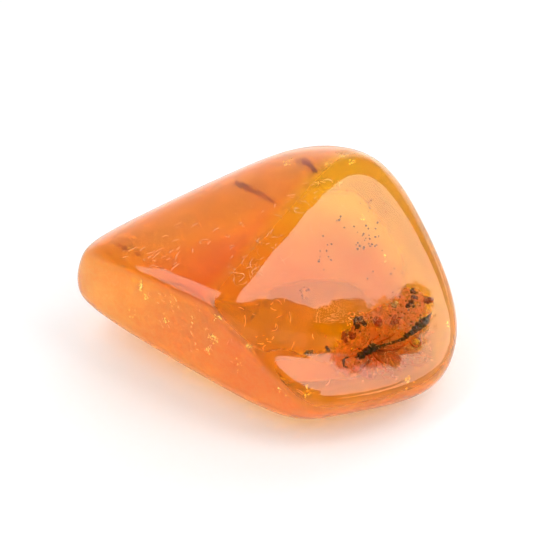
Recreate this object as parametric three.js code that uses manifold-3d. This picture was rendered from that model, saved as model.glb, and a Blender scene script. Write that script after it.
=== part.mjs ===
// Insect in amber: a polished amber pebble with a small winged insect and scraps of bark sealed inside it.
// Millimetres, +Z up. The pebble lies on its flat underside. Its window, the broad face over the insect,
// looks towards -Y and +X, and its narrow end points towards -X.
// The origin is below the middle of the pebble's box, at the height that it rests on.
// The amber is parted along a bed just under its two top faces, so that every inclusion has a pocket there.
import * as THREE from "three";
import Module from "manifold-3d";
import { mergeVertices } from "three/addons/utils/BufferGeometryUtils.js";

const wasm = await Module();
wasm.setup();

// Driving dimensions of the pebble
const REST_DEPTH = 7.0; // from the heart of the pebble down to its flat underside
const ROUNDNESS = 13; // how sharply one face turns into the next, higher is sharper
const PEBBLE_DETAIL = 13; // subdivisions of each edge of the icosahedron that the pebble starts as
const EVENING_PASSES = 40; // times that the vertices are moved towards the middle of their neighbours
const TURNING_PASSES = 20; // times that badly lying edges between them are turned

// The faces ground onto the pebble: the way each looks, and its distance from the heart.
// Azimuth turns from +X towards +Y, and elevation rises from the horizontal, both in degrees.
const FACES = {
  window: { azimuth: -60, elevation: 60, distance: 5.1 },
  leftFlank: { azimuth: -125, elevation: 10, distance: 8.8 },
  backSlope: { azimuth: -140, elevation: 77, distance: 5.5 },
  backCrown: { azimuth: 95, elevation: 50, distance: 13.9 },
  rightCrown: { azimuth: 62, elevation: 48, distance: 15.6 },
  rightRim: { azimuth: -10, elevation: 0, distance: 18.2 },
  rightBack: { azimuth: 25, elevation: 0, distance: 15.5 },
  rightFront: { azimuth: -42, elevation: 0, distance: 17.5 },
  frontRim: { azimuth: -72, elevation: 0, distance: 14.5 },
  frontUnder: { azimuth: -75, elevation: -38, distance: 13.9 },
  leftUnder: { azimuth: -127, elevation: -35, distance: 10.4 },
  underside: { azimuth: 0, elevation: -90, distance: 7.15 },
  tipBase: { azimuth: 190, elevation: -76, distance: 8.2 },
  backBase: { azimuth: 100, elevation: -70, distance: 9.6 },
  rightBase: { azimuth: 10, elevation: -68, distance: 11.0 },
  frontBase: { azimuth: -80, elevation: -66, distance: 10.6 },
  backLeft: { azimuth: 116, elevation: 5, distance: 11.2 },
  backRight: { azimuth: 45, elevation: 5, distance: 16.4 },
  tip: { azimuth: 187, elevation: -5, distance: 19.2 },
  tipTop: { azimuth: 170, elevation: 45, distance: 15.0 },
  tipUnder: { azimuth: 190, elevation: -45, distance: 16.5 },
};

// Two shallow hollows worn into the window. Places on a face are along it (level) and up it,
// from the point of the face that is nearest to the heart.
const HOLLOWS = [
  { along: 2.0, up: -11.0, halfLength: 6.0, halfWidth: 2.8, turn: -19, depth: 0.7 },
  { along: -5.0, up: -7.5, halfLength: 4.0, halfWidth: 3.0, turn: -40, depth: 0.5 },
];

// The bed of inclusions
const WINDOW_BED_DEPTH = 2.2; // under the window, where the insect lies
const SLOPE_BED_DEPTH = 2.2; // under the back slope
const JOINT_GAP = 0.3; // between the two halves of the amber
const POCKET_CLEARANCE = 0.3; // round each inclusion
const SLAB = 90; // larger than the pebble, for the solids that cut it
const FINEST_STEP = 0.001; // corners are kept on steps of this size
const LEAST_GAIN = 0.002; // an edge is turned only where that brings it this much nearer to the surface
const LEAST_HEIGHT = 0.15; // of a triangle on its longest side, as a share of that side

// The insect, in its own frame: X from head to tail, Y up the window, Z out of it
const INSECT_PLACE = { face: "window", along: 7.2, up: -9.5, turn: 3 };
const HEAD = { at: [-3.7, -0.1, 0.05], half: [0.38, 0.42, 0.4] };
const EYES = { x: -3.85, y: 0.0, z: 0.3, radius: 0.17 };
const THORAX = [
  { at: [-2.95, 0.0, 0.05], half: [0.45, 0.48, 0.45] },
  { at: [-2.3, 0.05, 0.08], half: [0.62, 0.55, 0.5] },
];
const LUMP_DETAIL = 1; // subdivisions of each edge of the icosahedra that the body is joined from
const WAIST = { from: [-1.9, 0.0, 0], to: [0.55, -0.35, 0], startRadius: 0.22, endRadius: 0.12 };
const ABDOMEN = [
  { at: [0.65, -0.36, 0], half: [0.3, 0.24, 0.24] },
  { at: [1.15, -0.26, 0], half: [0.33, 0.28, 0.27] },
  { at: [1.7, -0.15, 0], half: [0.36, 0.33, 0.32] },
  { at: [2.3, -0.02, 0], half: [0.42, 0.42, 0.38] },
  { at: [2.95, 0.1, 0], half: [0.46, 0.52, 0.42] },
  { at: [3.55, 0.2, 0], half: [0.4, 0.42, 0.36] },
];
const STING = { from: [3.7, 0.25, 0], to: [4.45, 0.65, 0.05], startRadius: 0.25, endRadius: 0.05 };
const LIMB_SIDES = 5;
const LIMB_STEPS = 6;
const LEG_RADIUS = 0.08;
const FEELER_RADIUS = 0.06;
// Each leg and feeler from the body outwards
const LEGS = [
  [[-2.9, -0.2, 0.1], [-3.4, -0.95, 0.35], [-4.1, -1.2, 0.1], [-4.7, -1.6, 0]],
  [[-2.5, -0.2, 0.1], [-2.7, -1.1, 0.4], [-2.2, -1.8, 0.2], [-2.4, -2.5, 0]],
  [[-2.1, -0.2, 0.1], [-1.3, -0.8, 0.4], [0.1, -1.0, 0.3], [1.1, -0.8, 0.2], [1.7, -1.3, 0.1]],
  [[-2.9, 0.2, -0.1], [-3.3, 0.7, -0.2], [-4.0, 0.75, -0.1], [-4.5, 0.55, 0]],
  [[-2.5, 0.2, -0.1], [-2.2, 0.95, -0.3], [-1.6, 0.85, -0.2], [-0.9, 1.05, 0]],
  [[-2.1, 0.2, -0.1], [-1.2, 0.55, -0.4], [-0.2, 0.3, -0.4], [0.5, 0.55, -0.2]],
];
const FEELERS = [
  [[-3.9, 0.0, 0.1], [-4.4, 0.3, 0.2], [-5.0, 0.1, 0.2], [-5.4, -0.3, 0.1], [-5.2, -0.75, 0]],
  [[-3.9, -0.2, 0.1], [-4.4, -0.35, 0.3], [-4.9, -0.7, 0.2]],
];
// Each wing is a thin plate: where it is hinged, the way it points, and its size
const WING_THICKNESS = 0.14;
const WINGS = [
  { root: [-2.2, -0.15, 0.16], turn: -31, length: 5.0, width: 1.9 },
  { root: [-2.5, -0.2, -0.05], turn: -122, length: 3.0, width: 1.7 },
  { root: [-2.0, -0.15, -0.2], turn: -52, length: 3.3, width: 1.5 },
];
// Rounded rooms in the amber that hold the insect: body, wings, feelers
const INSECT_POCKET = [
  { at: [0.1, 0.0, 0], half: [5.7, 1.8, 1.15] },
  { at: [-0.8, -1.7, 0], half: [4.9, 2.5, 0.95] },
  { at: [-4.1, -0.4, 0.05], half: [2.6, 2.0, 0.9] },
];

// The scraps round the insect and under the back slope: place on the face, and length, width, thickness
const SCRAPS = {
  bark_crumb: { face: "window", along: 4.8, up: -6.9, turn: 15, size: [1.3, 1.3, 0.9], colour: 0x2a1712 },
  brown_globule: { face: "window", along: 6.4, up: -7.5, turn: 0, size: [0.9, 1.1, 0.8], colour: 0x8a3a12 },
  curled_flake: { face: "window", along: 3.2, up: -7.6, turn: -20, size: [1.3, 0.8, 0.4], colour: 0x9c4a1c },
  red_flake: { face: "window", along: 8.3, up: -7.9, turn: 10, size: [1.5, 0.8, 0.5], colour: 0xa23420 },
  pale_chip: { face: "window", along: 8.7, up: -6.5, turn: 60, size: [1.0, 0.7, 0.5], colour: 0x7a6a62 },
  black_crumb: { face: "window", along: 10.0, up: -7.3, turn: 30, size: [1.2, 0.8, 0.7], colour: 0x1c1512 },
  black_splinter: { face: "window", along: 10.9, up: -6.3, turn: 70, size: [1.1, 0.5, 0.5], colour: 0x1c1512 },
  rust_flake: { face: "window", along: 12.0, up: -7.4, turn: -30, size: [1.0, 0.9, 0.3], colour: 0xb24a24 },
  left_chip: { face: "window", along: -0.9, up: -7.8, turn: -15, size: [1.3, 0.7, 0.5], colour: 0x6b4a3a },
  left_splinter: { face: "window", along: 0.9, up: -8.1, turn: 75, size: [1.1, 0.4, 0.4], colour: 0x241812 },
  plant_fibre: { face: "backSlope", along: -6.5, up: 4.8, turn: 10, size: [5.4, 0.9, 0.5], colour: 0x7a3418 },
  bark_strip: { face: "backSlope", along: -5.7, up: 10.4, turn: 0, size: [3.8, 1.0, 0.5], colour: 0x6e3016 },
  dark_thread: { face: "backSlope", along: -10.0, up: -7.6, turn: 10, size: [3.8, 0.35, 0.3], colour: 0x5a2a14 },
};
const SCRAP_DETAIL = 1; // subdivisions of each edge of the icosahedron that a scrap starts as
const SCRAP_ROUGHNESS = 0.3; // how far its surface strays, as a share of its radius
const POCKET_DETAIL = 1;

const AMBER_COLOUR = 0xee7a1c;
const INSECT_COLOUR = 0x2b1710;

function radians(degrees) {
  return THREE.MathUtils.degToRad(degrees);
}

function stepped(number) {
  return Math.round(number / FINEST_STEP) * FINEST_STEP;
}

function direction(azimuth, elevation) {
  const level = Math.cos(radians(elevation));
  return new THREE.Vector3(
    level * Math.cos(radians(azimuth)),
    level * Math.sin(radians(azimuth)),
    Math.sin(radians(elevation)),
  );
}

// The three axes of a face: level along it, up it, and out of it
function faceAxes(name) {
  const { azimuth, elevation } = FACES[name];
  const out = direction(azimuth, elevation);
  const along = direction(azimuth + 90, 0);
  const up = new THREE.Vector3().crossVectors(out, along);
  return { along, up, out };
}

// The matrix that lays a piece on the bed under a face
function bedMatrix({ face, along, up, turn }) {
  const axes = faceAxes(face);
  const depth = face === "window" ? WINDOW_BED_DEPTH : SLOPE_BED_DEPTH;
  const matrix = new THREE.Matrix4().makeBasis(axes.along, axes.up, axes.out);
  const place = new THREE.Vector3(along, up, FACES[face].distance - depth).applyMatrix4(matrix);
  const spin = new THREE.Matrix4().makeRotationZ(radians(turn));
  return matrix.multiply(spin).setPosition(place.x, place.y, place.z + REST_DEPTH);
}

// How far a hollow lowers the window where the given direction meets it
function hollowDepth(hollow, ray, axes, distance) {
  const reach = distance / Math.max(ray.dot(axes.out), 1e-6);
  const along = ray.dot(axes.along) * reach - hollow.along;
  const up = ray.dot(axes.up) * reach - hollow.up;
  const cos = Math.cos(radians(hollow.turn));
  const sin = Math.sin(radians(hollow.turn));
  const lengthwise = (cos * along + sin * up) / hollow.halfLength;
  const crosswise = (cos * up - sin * along) / hollow.halfWidth;
  return hollow.depth * Math.exp(-(lengthwise ** 2 + crosswise ** 2));
}

// Distance from the heart to the polished surface along a unit vector: the faces, blended where they meet
function pebbleRadius(ray) {
  let sum = 0;
  for (const name of Object.keys(FACES)) {
    const axes = faceAxes(name);
    const facing = ray.dot(axes.out);
    if (facing <= 0) continue;
    let distance = FACES[name].distance;
    if (name === "window") {
      for (const hollow of HOLLOWS) distance -= hollowDepth(hollow, ray, axes, FACES.window.distance);
    }
    sum += (facing / distance) ** ROUNDNESS;
  }
  return sum ** (-1 / ROUNDNESS);
}

// Moves a point, taken from the heart, onto the polished surface
function onSurface(point) {
  point.normalize();
  return point.multiplyScalar(pebbleRadius(point));
}

// The same geometry with one vertex wherever its faces share one
function welded(geometry) {
  const bare = geometry.clone();
  bare.deleteAttribute("normal");
  bare.deleteAttribute("uv");
  return mergeVertices(bare, 1e-5);
}

function neighboursOf(geometry) {
  const lists = Array.from({ length: geometry.getAttribute("position").count }, () => new Set());
  const index = geometry.getIndex().array;
  for (let i = 0; i < index.length; i += 3) {
    const corners = [index[i], index[i + 1], index[i + 2]];
    for (const a of corners) {
      for (const b of corners) {
        if (a !== b) lists[a].add(b);
      }
    }
  }
  return lists;
}

// A closed three.js geometry as a solid that can be joined and cut
function solidOf(geometry) {
  const merged = welded(geometry);
  return new wasm.Manifold(new wasm.Mesh({
    numProp: 3,
    vertProperties: new Float32Array(merged.getAttribute("position").array),
    triVerts: new Uint32Array(merged.getIndex().array),
  }));
}

// A solid as a three.js geometry, laid where the matrix puts it. Corners that a cut leaves closer together
// than the finest step become one, and the triangles that this closes up are dropped.
function geometryOf(solid, lie = new THREE.Matrix4()) {
  const mesh = solid.getMesh();
  const laid = new THREE.BufferGeometry();
  laid.setAttribute("position", new THREE.BufferAttribute(new Float32Array(mesh.vertProperties), 3));
  laid.setIndex(new THREE.BufferAttribute(new Uint32Array(mesh.triVerts), 1));
  laid.applyMatrix4(lie);
  const numbers = laid.getAttribute("position").array;
  numbers.forEach((number, i) => { numbers[i] = stepped(number); });
  const geometry = mergeVertices(laid, FINEST_STEP / 10);
  const index = geometry.getIndex().array;
  const kept = [];
  for (let i = 0; i < index.length; i += 3) {
    const [a, b, c] = index.slice(i, i + 3);
    if (a !== b && b !== c && c !== a) kept.push(a, b, c);
  }
  geometry.setIndex(kept);
  geometry.computeVertexNormals();
  return geometry;
}

function joined(solids) {
  return solids.reduce((whole, solid) => whole.add(solid));
}

// How far the middle of the edge between two surface points lies from the surface
function shortfall(a, b) {
  const middle = a.clone().add(b).multiplyScalar(0.5);
  const depth = middle.length();
  return Math.abs(pebbleRadius(middle.normalize()) - depth);
}

// Whether a triangle faces away from the heart and isn't a sliver
function wellShaped(a, b, c) {
  const sides = [b.clone().sub(a), c.clone().sub(b), a.clone().sub(c)];
  const normal = sides[0].clone().cross(sides[1]);
  const longest = Math.max(...sides.map((side) => side.length()));
  return normal.dot(a) > 0 && normal.length() > LEAST_HEIGHT * longest ** 2;
}

// Turns the edge that two triangles share into their other diagonal where that lies closer to the surface,
// so that the rounded edges of the pebble follow edges of the mesh
function turnEdges(points, index) {
  const owner = new Map();
  const key = (a, b) => a * points.length + b;
  for (let i = 0; i < index.length; i += 3) {
    for (let k = 0; k < 3; k += 1) owner.set(key(index[i + k], index[i + ((k + 1) % 3)]), i);
  }
  const third = (i, a, b) => [index[i], index[i + 1], index[i + 2]].find((corner) => corner !== a && corner !== b);
  const turned = new Set();
  for (const [edge, first] of owner) {
    const a = Math.floor(edge / points.length);
    const b = edge % points.length;
    const second = owner.get(key(b, a));
    if (a > b || turned.has(first) || turned.has(second)) continue;
    const c = third(first, a, b);
    const d = third(second, a, b);
    if (owner.has(key(c, d)) || owner.has(key(d, c))) continue;
    if (shortfall(points[c], points[d]) > shortfall(points[a], points[b]) - LEAST_GAIN) continue;
    if (!wellShaped(points[a], points[d], points[c]) || !wellShaped(points[d], points[b], points[c])) continue;
    index.set([a, d, c], first);
    index.set([d, b, c], second);
    turned.add(first).add(second);
  }
  return turned.size;
}

function pebble() {
  const ball = welded(new THREE.IcosahedronGeometry(1, PEBBLE_DETAIL));
  const position = ball.getAttribute("position");
  const points = [];
  for (let i = 0; i < position.count; i += 1) {
    points.push(onSurface(new THREE.Vector3().fromBufferAttribute(position, i)));
  }
  const neighbours = neighboursOf(ball);
  for (let pass = 0; pass < EVENING_PASSES; pass += 1) {
    points.forEach((point, i) => {
      const middle = new THREE.Vector3();
      for (const j of neighbours[i]) middle.add(points[j]);
      point.copy(onSurface(middle));
    });
  }
  for (let pass = 0; pass < TURNING_PASSES; pass += 1) turnEdges(points, ball.getIndex().array);
  points.forEach((point, i) => position.setXYZ(i, point.x, point.y, point.z + REST_DEPTH));
  const floor = solidOf(new THREE.BoxGeometry(SLAB, SLAB, SLAB).translate(0, 0, -SLAB / 2));
  return solidOf(ball).subtract(floor);
}

// Everything below a plane that is parallel to a face
function below(face, depth) {
  const { along, up, out } = faceAxes(face);
  const centre = out.clone().multiplyScalar(FACES[face].distance - depth - SLAB / 2);
  const turn = new THREE.Matrix4().makeBasis(along, up, out);
  turn.setPosition(centre.x, centre.y, centre.z + REST_DEPTH);
  return solidOf(new THREE.BoxGeometry(SLAB, SLAB, SLAB).applyMatrix4(turn));
}

// Everything below the bent bed, raised by the given height
function belowBed(rise) {
  return below("window", WINDOW_BED_DEPTH - rise).intersect(below("backSlope", SLOPE_BED_DEPTH - rise));
}

function ellipsoid({ at, half }, detail) {
  const geometry = new THREE.IcosahedronGeometry(1, detail);
  return geometry.scale(...half).translate(...at);
}

// A straight round taper between two points
function taper(from, to, startRadius, endRadius) {
  const start = new THREE.Vector3(...from);
  const end = new THREE.Vector3(...to);
  const way = new THREE.Vector3().subVectors(end, start);
  const geometry = new THREE.CylinderGeometry(endRadius, startRadius, way.length(), LIMB_SIDES);
  geometry.translate(0, way.length() / 2, 0);
  geometry.applyQuaternion(new THREE.Quaternion().setFromUnitVectors(THREE.Object3D.DEFAULT_UP, way.normalize()));
  return geometry.translate(...from);
}

// A leg or feeler: a thin round rod along a curve through its joints
function limb(points, radius) {
  const section = new THREE.Shape();
  for (let i = 0; i < LIMB_SIDES; i += 1) {
    const turn = (2 * Math.PI * i) / LIMB_SIDES;
    const corner = [radius * Math.cos(turn), radius * Math.sin(turn)];
    if (i === 0) section.moveTo(...corner);
    else section.lineTo(...corner);
  }
  const extrudePath = new THREE.CatmullRomCurve3(points.map((point) => new THREE.Vector3(...point)));
  return new THREE.ExtrudeGeometry(section, { steps: LIMB_STEPS, extrudePath });
}

// A wing: a thin plate, narrow at the hinge and rounded at the tip
function wing({ root, turn, length, width }) {
  const outline = new THREE.Shape();
  outline.moveTo(-0.2, -0.12);
  outline.bezierCurveTo(length * 0.3, -width * 0.35, length * 0.75, -width * 0.75, length * 0.95, -width * 0.35);
  outline.bezierCurveTo(length * 1.03, -width * 0.1, length * 0.98, width * 0.15, length * 0.85, width * 0.2);
  outline.bezierCurveTo(length * 0.55, width * 0.3, length * 0.25, width * 0.15, -0.2, 0.12);
  const plate = { depth: WING_THICKNESS, bevelEnabled: false, curveSegments: 5 };
  const geometry = new THREE.ExtrudeGeometry(outline, plate).translate(0, 0, -WING_THICKNESS / 2);
  return geometry.rotateZ(radians(turn)).translate(...root);
}

function insect() {
  const parts = [solidOf(ellipsoid(HEAD, LUMP_DETAIL))];
  for (const side of [-1, 1]) {
    const at = [EYES.x, EYES.y, side * EYES.z];
    parts.push(solidOf(ellipsoid({ at, half: [EYES.radius, EYES.radius, EYES.radius] }, 0)));
  }
  for (const lump of [...THORAX, ...ABDOMEN]) parts.push(solidOf(ellipsoid(lump, LUMP_DETAIL)));
  for (const { from, to, startRadius, endRadius } of [WAIST, STING]) {
    parts.push(solidOf(taper(from, to, startRadius, endRadius)));
  }
  for (const points of LEGS) parts.push(solidOf(limb(points, LEG_RADIUS)));
  for (const points of FEELERS) parts.push(solidOf(limb(points, FEELER_RADIUS)));
  for (const plan of WINGS) parts.push(solidOf(wing(plan)));
  return joined(parts);
}

// An uneven lump of the given size, its unevenness set by the phase
function scrap(size, phase) {
  const geometry = new THREE.IcosahedronGeometry(1, SCRAP_DETAIL);
  const position = geometry.getAttribute("position");
  const point = new THREE.Vector3();
  for (let i = 0; i < position.count; i += 1) {
    point.fromBufferAttribute(position, i);
    const wave = Math.sin(4 * point.x + phase) + Math.sin(5 * point.y + 2 * phase) + Math.sin(4 * point.z - phase);
    point.multiplyScalar(1 - SCRAP_ROUGHNESS * (0.5 + wave / 6));
    position.setXYZ(i, point.x, point.y, point.z);
  }
  return geometry.scale(...size.map((length) => length / 2));
}

function scrapPocket(size) {
  const half = size.map((length) => (length / 2) * 1.1 + POCKET_CLEARANCE);
  return ellipsoid({ at: [0, 0, 0], half }, POCKET_DETAIL);
}

function amberMaterial() {
  return new THREE.MeshStandardMaterial({
    name: "amber", color: AMBER_COLOUR, roughness: 0.06, metalness: 0, transparent: true, opacity: 0.5,
  });
}

function matter(name, color) {
  return new THREE.MeshStandardMaterial({ name, color, roughness: 0.45, metalness: 0 });
}

function named(name, geometry, material) {
  const mesh = new THREE.Mesh(geometry, material);
  mesh.name = name;
  return mesh;
}

// The pieces, with the pockets that hold them collected on the way
const pockets = INSECT_POCKET.map((room) => ellipsoid(room, POCKET_DETAIL).applyMatrix4(bedMatrix(INSECT_PLACE)));
const insectGeometry = geometryOf(insect(), bedMatrix(INSECT_PLACE));
const pieces = [named("insect", insectGeometry, matter("insect", INSECT_COLOUR))];
Object.entries(SCRAPS).forEach(([name, plan], index) => {
  const lie = bedMatrix(plan);
  pieces.push(named(name, scrap(plan.size, index).applyMatrix4(lie), matter(name, plan.colour)));
  pockets.push(scrapPocket(plan.size).applyMatrix4(lie));
});

const hollowed = pebble().subtract(joined(pockets.map(solidOf)));
const lower = geometryOf(hollowed.intersect(belowBed(0)));
const upper = geometryOf(hollowed.subtract(belowBed(JOINT_GAP)));

const model = new THREE.Group();
model.add(named("amber_lower", lower, amberMaterial()));
model.add(named("amber_upper", upper, amberMaterial()));
model.add(...pieces);

// The origin goes under the middle of the pebble's box
const middle = new THREE.Box3().setFromObject(model).getCenter(new THREE.Vector3());
model.position.set(stepped(-middle.x), stepped(-middle.y), 0);

export default model;
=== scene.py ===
"""Insect in amber: a polished amber pebble with a small winged insect and scraps of bark sealed inside it.

Laid out as a Blender add-on and run as a script. Sizes named in millimetres are turned to metres when a
piece is made. The pebble lies on its flat underside at z = 0, its window over the insect towards -Y and +X.
"""
import math
import random

import bpy
import numpy as np
from bpy.props import FloatProperty, FloatVectorProperty, IntProperty, PointerProperty
from mathutils import Matrix, Vector, noise


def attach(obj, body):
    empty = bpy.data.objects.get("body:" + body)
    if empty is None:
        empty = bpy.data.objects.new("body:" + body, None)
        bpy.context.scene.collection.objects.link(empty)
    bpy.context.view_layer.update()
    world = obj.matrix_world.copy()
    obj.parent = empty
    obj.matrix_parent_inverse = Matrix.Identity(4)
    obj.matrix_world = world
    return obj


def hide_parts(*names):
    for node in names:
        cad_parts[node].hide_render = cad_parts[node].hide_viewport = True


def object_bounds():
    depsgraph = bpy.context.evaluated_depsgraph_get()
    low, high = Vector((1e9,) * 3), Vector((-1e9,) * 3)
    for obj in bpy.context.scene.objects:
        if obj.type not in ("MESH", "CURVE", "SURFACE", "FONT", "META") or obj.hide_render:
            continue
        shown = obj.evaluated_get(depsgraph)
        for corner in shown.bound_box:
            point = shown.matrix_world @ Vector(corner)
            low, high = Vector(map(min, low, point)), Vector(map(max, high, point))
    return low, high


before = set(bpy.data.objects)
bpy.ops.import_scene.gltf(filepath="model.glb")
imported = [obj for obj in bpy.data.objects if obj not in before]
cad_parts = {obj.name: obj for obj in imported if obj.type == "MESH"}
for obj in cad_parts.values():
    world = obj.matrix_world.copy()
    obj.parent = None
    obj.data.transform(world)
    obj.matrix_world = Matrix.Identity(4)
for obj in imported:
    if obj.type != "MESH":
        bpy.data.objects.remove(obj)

bl_info = {
    "name": "Insect in Amber",
    "version": (1, 0, 0),
    "blender": (4, 5, 0),
    "location": "View3D > Sidebar > Amber",
    "description": "A polished amber pebble with a small winged insect and scraps of bark inside",
    "category": "Object",
}

CAD_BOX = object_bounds()
MM = 0.001

# The pebble, in millimetres. Its faces are measured from its heart: the way each looks (azimuth from +X
# towards +Y, elevation from the horizontal, in degrees) and its distance.
HEART = Vector((0.483, -1.194, 7.0))
ROUNDNESS = 13
FACES = {
    "window": (-60, 60, 5.1),
    "left_flank": (-125, 10, 8.8),
    "back_slope": (-140, 77, 5.5),
    "back_crown": (95, 50, 13.9),
    "right_crown": (62, 48, 15.6),
    "right_rim": (-10, 0, 18.2),
    "right_back": (25, 0, 15.5),
    "right_front": (-42, 0, 17.5),
    "front_rim": (-72, 0, 14.5),
    "front_under": (-75, -38, 13.9),
    "left_under": (-127, -35, 10.4),
    "underside": (0, -90, 7.15),
    "tip_base": (190, -76, 8.2),
    "back_base": (100, -70, 9.6),
    "right_base": (10, -68, 11.0),
    "front_base": (-80, -66, 10.6),
    "back_left": (116, 5, 11.2),
    "back_right": (45, 5, 16.4),
    "tip": (187, -5, 19.2),
    "tip_top": (170, 45, 15.0),
    "tip_under": (190, -45, 16.5),
}
# Shallow hollows worn into the window: along, up, half length, half width, turn, depth
HOLLOWS = ((2.0, -11.0, 6.0, 2.8, -19, 0.7), (-5.0, -7.5, 4.0, 3.0, -40, 0.5))
BED_DEPTH = 2.2  # of the inclusions, under the window and under the back slope
# How often the mesh is evened after each time that it is subdivided, and the size and share of its soft waves
EVENING_PASSES = (40, 12, 5)
WAVES = ((3.5, 1.0), (1.4, 0.4))
# Where the clearer faces begin and are whole, in millimetres from the heart, and how the amber is tinted
CLEAR_FACES = {"window": (3.7, 4.7), "back_slope": (4.6, 5.35)}
# The window's paler tint is painted light and the back slope's darker, redder tint is painted shade; the flank's
# two tints are the amber's own blotches.
WINDOW_PAINTED_LIGHT_TINT = (0.89, 0.78, 0.55)
SLOPE_PAINTED_SHADE_TINT = (0.88, 0.36, 0.3)
FLANK_TINTS = ((0.98, 0.65, 0.27), (0.95, 0.44, 0.14))

# The photograph's camera
PHOTO_SIDE = 540
CAMERA_LENS = 100
CAMERA_SENSOR = 36
CAMERA_DISTANCE = 140
CAMERA_TILT = 40
CAMERA_AIM = Vector((0.483, 1.306, 7.0))

# The insect in its own frame, in millimetres: X from head to tail, Y up the window, Z out of it
INSECT_PLACE = ("window", 7.2, -9.5, 3)
BODY_LUMPS = (
    ((-3.72, -0.12, 0.05), (0.4, 0.42, 0.38)),
    ((-3.9, -0.05, 0.3), (0.17, 0.19, 0.15)),
    ((-3.85, -0.1, -0.22), (0.17, 0.19, 0.15)),
    ((-4.0, -0.3, 0.1), (0.18, 0.14, 0.16)),
    ((-3.25, -0.03, 0.05), (0.24, 0.26, 0.26)),
    ((-2.92, 0.0, 0.05), (0.42, 0.46, 0.42)),
    ((-2.35, 0.1, 0.1), (0.5, 0.5, 0.46)),
    ((-1.98, 0.0, 0.05), (0.34, 0.36, 0.34)),
    ((0.7, -0.36, 0), (0.26, 0.2, 0.2)),
    ((1.15, -0.27, 0), (0.29, 0.25, 0.24)),
    ((1.65, -0.16, 0), (0.31, 0.3, 0.28)),
    ((2.15, -0.05, 0), (0.33, 0.36, 0.33)),
    ((2.65, 0.04, 0), (0.34, 0.44, 0.37)),
    ((3.12, 0.13, 0), (0.33, 0.46, 0.37)),
    ((3.55, 0.22, 0), (0.31, 0.36, 0.31)),
)
# Dark stalks, as points with their radii: the waist, the spike at the tail and the hook at a feeler's tip
STALKS = (
    (((-1.85, -0.02, 0.02), 0.2), ((-1.0, -0.12, 0.02), 0.13),
     ((-0.1, -0.25, 0), 0.11), ((0.7, -0.36, 0), 0.15)),
    (((3.6, 0.24, 0), 0.24), ((4.0, 0.44, 0.02), 0.15),
     ((4.35, 0.62, 0.05), 0.06), ((4.5, 0.7, 0.06), 0.03)),
    (((-4.86, 0.2, 0.15), 0.06), ((-5.4, 0.32, 0.15), 0.11), ((-5.68, -0.15, 0.15), 0.13),
     ((-5.84, -0.5, 0.1), 0.11), ((-5.5, -0.6, 0.1), 0.08)),
)
# Legs and feelers, as joints with their radii. The fourth is the ring in which the third ends.
LIMBS = (
    (((-2.9, -0.2, 0.1), 0.12), ((-3.3, -0.85, 0.32), 0.13), ((-3.9, -1.1, 0.15), 0.08),
     ((-4.3, -1.3, 0.05), 0.05), ((-4.75, -1.62, 0), 0.04)),
    (((-2.5, -0.2, 0.1), 0.12), ((-2.7, -1.0, 0.38), 0.13), ((-2.3, -1.6, 0.25), 0.08),
     ((-2.25, -2.1, 0.1), 0.05), ((-2.45, -2.5, 0), 0.04)),
    (((-2.1, -0.2, 0.1), 0.13), ((-1.3, -0.8, 0.36), 0.15), ((-0.2, -1.0, 0.3), 0.1),
     ((0.6, -0.95, 0.25), 0.07), ((1.2, -0.75, 0.2), 0.07)),
    (((1.2, -0.75, 0.2), 0.07), ((1.0, -1.15, 0.22), 0.1), ((1.35, -1.6, 0.2), 0.11),
     ((1.95, -1.55, 0.15), 0.1), ((2.15, -1.05, 0.15), 0.09), ((1.75, -0.7, 0.2), 0.07),
     ((1.35, -0.75, 0.22), 0.05)),
    (((-2.9, 0.2, -0.1), 0.1), ((-3.3, 0.68, -0.2), 0.1),
     ((-4.0, 0.72, -0.1), 0.06), ((-4.5, 0.55, 0), 0.04)),
    (((-2.5, 0.2, -0.1), 0.1), ((-2.2, 0.9, -0.28), 0.1),
     ((-1.6, 0.82, -0.2), 0.06), ((-0.9, 1.02, 0), 0.04)),
    (((-2.1, 0.2, -0.1), 0.1), ((-1.2, 0.52, -0.36), 0.1),
     ((-0.2, 0.3, -0.36), 0.06), ((0.5, 0.52, -0.2), 0.04)),
    (((-3.95, 0.0, 0.15), 0.07), ((-4.3, 0.12, 0.2), 0.05),
     ((-4.6, 0.2, 0.18), 0.05), ((-4.9, 0.22, 0.15), 0.05)),
    (((-3.95, -0.2, 0.15), 0.07), ((-4.4, -0.35, 0.3), 0.05), ((-4.85, -0.68, 0.2), 0.05)),
)
BODY_VOXEL = 0.055
BODY_ROUGHNESS = (0.35, 0.05)  # the size and depth of its blotches
# Wings: hinge, the way it points in degrees, length, width
WINGS = (
    ((-2.2, -0.15, 0.16), -31, 5.0, 1.9),
    ((-2.5, -0.2, -0.05), -122, 3.0, 1.7),
    ((-2.0, -0.15, -0.2), -52, 3.3, 1.5),
)
HINGE_SHARE = 0.16  # of the width, at the hinge
BOW_SHARE = 0.22  # of the width, that the middle bows
TIP_STARTS = 0.72  # of the length, where the rounding of the tip begins
HINGE_OVERLAP = 0.15
WING_CRUMPLE = 0.09
WING_THICKNESS = 0.03

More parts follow.
